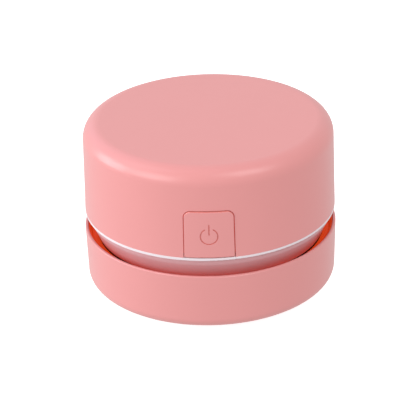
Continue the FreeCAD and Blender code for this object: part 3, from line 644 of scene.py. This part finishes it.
def screws(name, node, body, circle, angles, heads_down=True):
    """Screws round a circle in place of a node's, each turned a different way about its own axis."""
    low, high = span(node, "z")
    seat = low + head_height if heads_down else high - head_height
    spots = bmesh.new()
    for angle in angles:
        spots.verts.new(Vector(at_turn(circle, math.radians(angle), seat)) * mm)
    template = screw_shape(high - seat if heads_down else seat - low)
    inputs = {"Screw": template, "Tip over": math.pi if heads_down else 0.0, "Seed": 7}
    tree = Growth("driven_screws", inputs)
    shape = tree.node("GeometryNodeObjectInfo", None, {"Object": tree["Screw"]}, out="Geometry")
    points = tree.node("GeometryNodeMeshToPoints", None, {"Mesh": tree["Mesh"]})
    stood = tree.copies(points, shape, Rotation=tree.vector(x=tree["Tip over"]))
    spin = tree.vector(z=tree.chance(0.0, math.pi, tree["Seed"]))
    driven = tree.node("GeometryNodeRotateInstances", None, {"Instances": stood, "Rotation": spin})
    mesh = tree.grow(driven, filled("places", spots, "zinc_steel"), finishes["zinc_steel"])
    bpy.data.objects.remove(template)
    smooth(mesh, screw_sharp)
    piece(placed(name, mesh), body, "zinc_steel", node)


screws("base_screw_set", "base_screws", "bin", 24.0, (30, 150, 270))
screws("guard_screw_set", "guard_screws", "head", 32.4, (60, 180, 300))
screws("cover_screw_set", "cover_screws", "head", 32.4, (0, 120, 240))
screws("board_screw_set", "board_screws", "head", 24.5, (112, 180, 246), heads_down=False)
screws("motor_screw_set", "motor_screws", "head", 8.0, (90, 270))


# ---------------------------------------------------------------- brush


brush_radius, brush_half_width = 32.0, 1.4
brush_root, brush_back = 3.15, span("brush_strips", "z")[1]
strip_count, strip_sweep, strip_steps = 6, 51.0, 24
first_strip = -90 - strip_sweep / 2
edge_margin, end_margin, root_sink = 0.12, 0.4, 0.05


def brush():
    """Nylon filaments set in six curved straps, each filament with its own lean and length."""
    inner, outer = brush_radius - brush_half_width, brush_radius + brush_half_width
    strap = [(inner, brush_root), (outer, brush_root), (outer, brush_back), (inner, brush_back)]
    edges = (inner + edge_margin, outer - edge_margin)
    straps, roots = bmesh.new(), bmesh.new()
    for strip in range(strip_count):
        start = first_strip + strip * 360 / strip_count
        arc_bar(straps, strap, start, strip_sweep, strip_steps)
        rows = []
        for step in range(strip_steps + 1):
            turn = math.radians(start + end_margin + (strip_sweep - 2 * end_margin) * step / strip_steps)
            rows.append([at_turn(edge, turn, brush_root + root_sink) for edge in edges])
        skin(roots, rows, looped=False, capped=False)
    sizes = {
        "Filaments per square mm": 6.5,
        "Root radius": 0.13,
        "Tip radius": 0.085,
        "Length": 3.15,
        "Shortest": 0.86,
        "Splay": 0.17,
        "Stray": 0.05,
        "Ring radius": brush_radius,
        "Half width": brush_half_width,
        "Seed": 3,
    }
    tree = Growth("filaments", sizes)
    density = tree["Filaments per square mm"] * (1 / mm**2)
    points = tree.node(
        "GeometryNodeDistributePointsOnFaces",
        {"distribute_method": "RANDOM"},
        {"Mesh": tree["Mesh"], "Density": density, "Seed": tree["Seed"]},
    )
    flat = tree.vectors("MULTIPLY", tree.node("GeometryNodeInputPosition"), (1.0, 1.0, 0.0))
    side = (tree.length(flat) * (1 / mm) - tree["Ring radius"]) / tree["Half width"]
    lean = tree.scaled(tree.vectors("NORMALIZE", flat), side * tree["Splay"])
    stray = tree.vector(
        tree.chance(-1.0, 1.0, tree["Seed"] + 1) * tree["Stray"],
        tree.chance(-1.0, 1.0, tree["Seed"] + 2) * tree["Stray"],
        -1.0,
    )
    aim = {"Vector": tree.vectors("ADD", lean, stray)}
    facing = tree.node("FunctionNodeAlignRotationToVector", {"axis": "Z"}, aim)
    filament = tree.node(
        "GeometryNodeMeshCone",
        {"fill_type": "NGON"},
        {
            "Vertices": 5,
            "Side Segments": 1,
            "Radius Top": tree["Tip radius"] * mm,
            "Radius Bottom": tree["Root radius"] * mm,
            "Depth": tree["Length"] * mm,
        },
    )
    tall = tree.vector(1.0, 1.0, tree.chance(tree["Shortest"], 1.0, tree["Seed"] + 3))
    stood = tree.copies(points, filament, Rotation=facing, Scale=tall)
    mesh = tree.grow(stood, filled("brush_roots", roots, "bristle"), finishes["bristle"])
    made = filled("bristle_ring", joined(mesh, plain("straps", outward(straps))), "bristle")
    smooth(made.data, sharp=40.0)
    piece(made, "bin", "bristle", "brush_strips")


brush()


# ---------------------------------------------------------------- filter wires


weave_radius, weave_pitch, wire_radius, steps_per_pitch = 29.5, 1.2, 0.14, 2
rim_inner, rim_flat_inner, rim_flat_outer, rim_outer, rim_bevel = 28.7, 28.8, 29.85, 29.94, 0.1
rim_steps = 96


def wire_layer(tree, half_count, turn, sign):
    """A layer of parallel wires, which rise and fall past the other layer's and end at the rim. The
    turn is in radians."""
    reach, pitch, thick = tree["Radius"] * mm, tree["Pitch"] * mm, tree["Wire radius"] * mm
    end = half_count * pitch
    ends = {"Start": tree.vector(x=end * -1.0), "End": tree.vector(x=end)}
    line = tree.node("GeometryNodeCurvePrimitiveLine", None, ends)
    count = half_count * (2 * steps_per_pitch) + 1
    fine = tree.node("GeometryNodeResampleCurve", None, {"Curve": line, "Count": count})
    rows = tree.row(half_count * 2 + 1, tree.vector(y=end * -1.0), tree.vector(y=pitch))
    wires = tree.node("GeometryNodeRealizeInstances", None, {"Geometry": tree.copies(rows, fine)})
    place = tree.node("GeometryNodeInputPosition")
    over, under = [(tree.part(place, axis) * math.pi / pitch).maths("COSINE") for axis in "XY"]
    rise = tree.vector(z=over * under * thick * sign)
    waved = tree.node("GeometryNodeSetPosition", None, {"Geometry": wires, "Offset": rise})
    outside = tree.node(
        "FunctionNodeCompare",
        {"data_type": "FLOAT", "operation": "GREATER_THAN"},
        {0: tree.length(place), 1: reach},
    )
    kept = tree.node(
        "GeometryNodeDeleteGeometry", {"domain": "POINT"}, {"Geometry": waved, "Selection": outside}
    )
    up = tree.vector(z=tree["Height"] * mm)
    put = {"Geometry": kept, "Translation": up, "Rotation": (0.0, 0.0, turn)}
    return tree.node("GeometryNodeTransform", None, put)


def filter_weave():
    """Steel wires woven over and under each other, held in a pressed rim."""
    low, high = span("filter_mesh", "z")
    sizes = {"Radius": weave_radius, "Pitch": weave_pitch, "Wire radius": wire_radius}
    tree = Growth("woven_wires", {**sizes, "Height": (low + high) / 2})
    half_count = (tree["Radius"] / tree["Pitch"]).maths("FLOOR")
    layers = [wire_layer(tree, half_count, turn, sign) for turn, sign in ((0.0, 1.0), (math.pi / 2, -1.0))]
    outline = {"Resolution": 4, "Radius": tree["Wire radius"] * mm}
    section = tree.node("GeometryNodeCurvePrimitiveCircle", None, outline)
    drawn = {"Curve": tree.both(*layers), "Profile Curve": section, "Fill Caps": True}
    tubes = tree.node("GeometryNodeCurveToMesh", None, drawn)
    mesh = tree.grow(tubes, filled("weave_host", bmesh.new(), "mesh_grey"), finishes["mesh_grey"])
    foot = [(rim_inner, rim_bevel), (rim_flat_inner, 0.0), (rim_flat_outer, 0.0), (rim_outer, rim_bevel)]
    profile = [(r, low + z) for r, z in foot] + [(r, high - z) for r, z in reversed(foot)]
    rim = bmesh.new()
    turned_ring(rim, profile, rim_steps)
    made = filled("filter_weave", joined(mesh, plain("rim", outward(rim))), "mesh_grey")
    smooth(made.data, sharp=50.0)
    piece(made, "filter", "mesh_grey", "filter_mesh")


filter_weave()


# ---------------------------------------------------------------- thin edges round the vent


lining_foot, lining_drop = 21.5, 0.6
lining_inner, lining_outer = 40.6, 41.4
thin_inner, thin_outer = 41.1, 41.68
skirt_edge_top, skirt_edge_inner, skirt_drop = 20.95, 37.9, 0.5
shading_weight = 90


def redrawn(name, node, finish, place):
    """A merged copy of a node, its points set by place(radius, height) and its shading evened out."""
    copy = merged(node)
    for point in copy.verts:
        radius = math.hypot(point.co.x, point.co.y) / mm
        new_radius, height = place(radius, point.co.z / mm)
        point.co.x *= new_radius / radius
        point.co.y *= new_radius / radius
        point.co.z = height * mm
    host = filled(name, copy, finish)
    smooth(host.data)
    even = host.modifiers.new("even", "WEIGHTED_NORMAL")
    even.keep_sharp, even.weight = True, shading_weight
    mesh = evaluated(host)
    bpy.data.objects.remove(host)
    return placed(name, mesh)


def thin_lining(radius, height):
    """Thins the edge of the cup's lining, lays it against the bin's wall and lowers it a little."""
    if height < lining_foot:
        return radius, height
    share = (radius - lining_inner) / (lining_outer - lining_inner)
    return thin_inner + share * (thin_outer - thin_inner), height - lining_drop


def drip_edge(radius, height):
    """Draws the skirt's outer edge down to a fine lip in front of the guard."""
    if height > skirt_edge_top or radius < skirt_edge_inner:
        return radius, height
    return radius, height - skirt_drop


filter_cup = redrawn("filter_cup", "filter_frame", "filter_orange", thin_lining)
piece(filter_cup, "filter", "filter_orange", "filter_frame")
# The tray takes the shell's plastic with its pink painted for the shade under the ring.
skirted_tray = redrawn("skirted_tray", "motor_tray", "skirt_pink", drip_edge)
piece(skirted_tray, "head", "shell_pink", "motor_tray")


# ---------------------------------------------------------------- power button


mark_z, mark_radius, mark_depth, mark_gap = 37.35, 2.8, 0.3, 30.0
line_half_width, bar_foot, bar_top = 0.20, 38.0, 41.4
mark_floor, cutter_reach = button_face - mark_depth, 44.0
mark_steps, round_end_turns = 40, (21, 42, 63, 84)
button_sharp, face_spread = 28.0, 6.0


def engraving(line):
    """A cutter along a line of (across, height) on the button's curved face, with round ends."""
    points = [Vector(point) for point in line]
    ways = [(after - before).normalized() for before, after in zip(points, points[1:])]
    ways.append(ways[-1])
    stations = [(point, way, 1.0) for point, way in zip(points, ways)]
    for turn in map(math.radians, round_end_turns):
        beyond, share = line_half_width * math.sin(turn), math.cos(turn)
        stations.insert(0, (points[0] - ways[0] * beyond, ways[0], share))
        stations.append((points[-1] + ways[-1] * beyond, ways[-1], share))
    rows = []
    for point, way, share in stations:
        across = Vector((-way.y, way.x)) * line_half_width * share
        row = []
        for side, radius in ((1, mark_floor), (-1, mark_floor), (-1, cutter_reach), (1, cutter_reach)):
            u, z = point + side * across
            row.append((radius * math.sin(u / button_face), -radius * math.cos(u / button_face), z))
        rows.append(row)
    cutter = bmesh.new()
    skin(cutter, rows)
    return filled("engraving", outward(cutter), "button_pink")


def power_button():
    """The pressed tab, with the power mark cut into its curved face."""
    arc = []
    for step in range(mark_steps + 1):
        turn = math.radians(mark_gap + (360 - 2 * mark_gap) * step / mark_steps)
        arc.append((mark_radius * math.sin(turn), mark_z + mark_radius * math.cos(turn)))
    blank = filled("button_blank", merged("power_button"), "button_pink")
    ringed = placed("ringed", carved(blank, engraving(arc)))
    mesh = carved(ringed, engraving([(0, bar_foot), (0, bar_top)]))
    smooth(mesh, button_sharp)
    normals = [Vector(n.vector) for n in mesh.corner_normals]
    for polygon in mesh.polygons:
        for corner in polygon.loop_indices:
            at = mesh.vertices[mesh.loops[corner].vertex_index].co
            radial = Vector((at.x, at.y, 0)).normalized()
            if polygon.normal.dot(radial) > math.cos(math.radians(face_spread)):
                normals[corner] = radial
    mesh.normals_split_custom_set([tuple(n) for n in normals])
    piece(placed("engraved_button", mesh), "button", "shell_pink", "power_button")


power_button()


# ---------------------------------------------------------------- charging contacts


contact_set_back = 1.3


def socket_contacts():
    """Gilded contacts on both faces of the charging socket's tongue."""
    sizes = {"Pitch": 0.5, "Width": 0.28, "Length": 3.2, "Thickness": 0.06, "Tongue": 0.7}
    sizes["Height"] = sum(span("usb_socket", "z")) / 2
    sizes["Front"] = round(span("usb_socket", "y")[1] - contact_set_back, 2)
    tree = Growth("contacts", {**sizes, "Count": 12})
    pitch, count = tree["Pitch"] * mm, tree["Count"]
    size = tree.vector(tree["Width"] * mm, tree["Length"] * mm, tree["Thickness"] * mm)
    strip = tree.node("GeometryNodeMeshCube", None, {"Size": size})
    rows = []
    for side in (-0.5, 0.5):
        start = tree.vector(
            (count - 1.0) * pitch * -0.5,
            (tree["Front"] - tree["Length"] * 0.5) * mm,
            (tree["Height"] + tree["Tongue"] * side) * mm,
        )
        rows.append(tree.copies(tree.row(count, start, tree.vector(x=pitch)), strip))
    host = filled("contact_host", bmesh.new(), "tag_brass")
    mesh = tree.grow(tree.both(*rows), host, finishes["tag_brass"])
    piece(placed("socket_contacts", mesh), "head", "tag_brass")


socket_contacts()


# ---------------------------------------------------------------- camera


target = Vector((0, 0, 33)) * mm
azimuth, elevation, roll = math.radians(0.81), math.radians(26.09), math.radians(-1.56)
distance, aim_right, aim_up = 700 * mm, -0.58 * mm, -6.0 * mm


def away_from(bearing, height):
    """The way from the object, by its bearing from the front and its height, both in radians."""
    across = math.cos(height)
    return Vector((math.sin(bearing) * across, -math.cos(bearing) * across, math.sin(height)))


back = away_from(azimuth, elevation)
level_right = Vector((math.cos(azimuth), math.sin(azimuth), 0))
level_up = back.cross(level_right)
view_right = level_right * math.cos(roll) + level_up * math.sin(roll)
view_up = back.cross(view_right)
eye = target + back * distance
ahead = (target + view_right * aim_right + view_up * aim_up - eye).normalized()
side = ahead.cross(view_up).normalized()
over = side.cross(ahead)

lens = bpy.data.cameras.new("camera")
lens.lens, lens.sensor_width = 178.1, 36.0
lens.clip_start, lens.clip_end = 0.01, 20.0
camera = placed("camera", lens)
camera.matrix_world = Matrix((side, over, -ahead)).transposed().to_4x4()
camera.location = eye
bpy.context.scene.camera = camera
bpy.context.scene.view_settings.view_transform = "Standard"


# ---------------------------------------------------------------- light and floor


lamp_distance = 1.2
floor_half_width, floor_near, bend_start, bend_radius, bend_steps, wall_top = 4.0, -3.0, 3.0, 1.5, 12, 4.0


def soft_light(name, bearing, height, size, power, colour):
    """A square lamp facing the object, in metres and watts."""
    away = away_from(math.radians(bearing), math.radians(height))
    lamp = bpy.data.lights.new(name, "AREA")
    lamp.shape, lamp.size = "SQUARE", size
    lamp.energy, lamp.color = power, colour
    lit = placed(name, lamp)
    lit.location = target + lamp_distance * away
    lit.rotation_mode = "QUATERNION"
    lit.rotation_quaternion = (-away).to_track_quat("-Z", "Y")
    lit.visible_camera = False


def studio_floor():
    """A white sheet, in metres, that curves up behind the object and throws no light on it."""
    finish = Finish("floor_white", Roughness=0.9, Specular_IOR_Level=0.1)
    finish.set(Base_Color=finish.blend(finish.noise(40.0), (0.79, 0.79, 0.79), (0.82, 0.82, 0.82)))
    finish.set(Emission_Color=(1.0, 1.0, 1.0), Emission_Strength=0.75)
    finish.clear_from_behind()
    outline = [(floor_near, 0.0), (bend_start, 0.0)]
    for step in range(1, bend_steps + 1):
        turn = math.pi / 2 * step / bend_steps
        bend = bend_start + bend_radius * math.sin(turn), bend_radius * (1 - math.cos(turn))
        outline.append(bend)
    outline.append((bend_start + bend_radius, wall_top))
    sheet = bmesh.new()
    edges = (-floor_half_width, floor_half_width)
    rows = [[sheet.verts.new((x, y, z)) for x in edges] for y, z in outline]
    for low, high in zip(rows, rows[1:]):
        sheet.faces.new((low[0], low[1], high[1], high[0])).smooth = True
    floor = filled("studio_floor", sheet, "floor_white")
    floor.visible_diffuse = floor.visible_glossy = False
    return floor


soft_light("left_key", -95, 12, 0.7, 6.5, (0.88, 0.96, 1.0))
soft_light("left_front", -50, 20, 0.7, 4.7, (0.96, 0.98, 1.0))
soft_light("left_high", -90, 55, 0.6, 1.0, (0.65, 0.83, 1.0))
soft_light("right_high", 45, 50, 0.6, 3.2, (1.0, 0.99, 1.0))
soft_light("back_left", -135, 35, 0.9, 0.9, (0.22, 0.56, 1.0))

world = bpy.data.worlds.new("studio")
world.use_nodes = True
sky = world.node_tree.nodes["Background"].inputs
sky["Color"].default_value = (1.0, 1.0, 1.0, 1.0)
sky["Strength"].default_value = 0.75
bpy.context.scene.world = world

studio_floor()
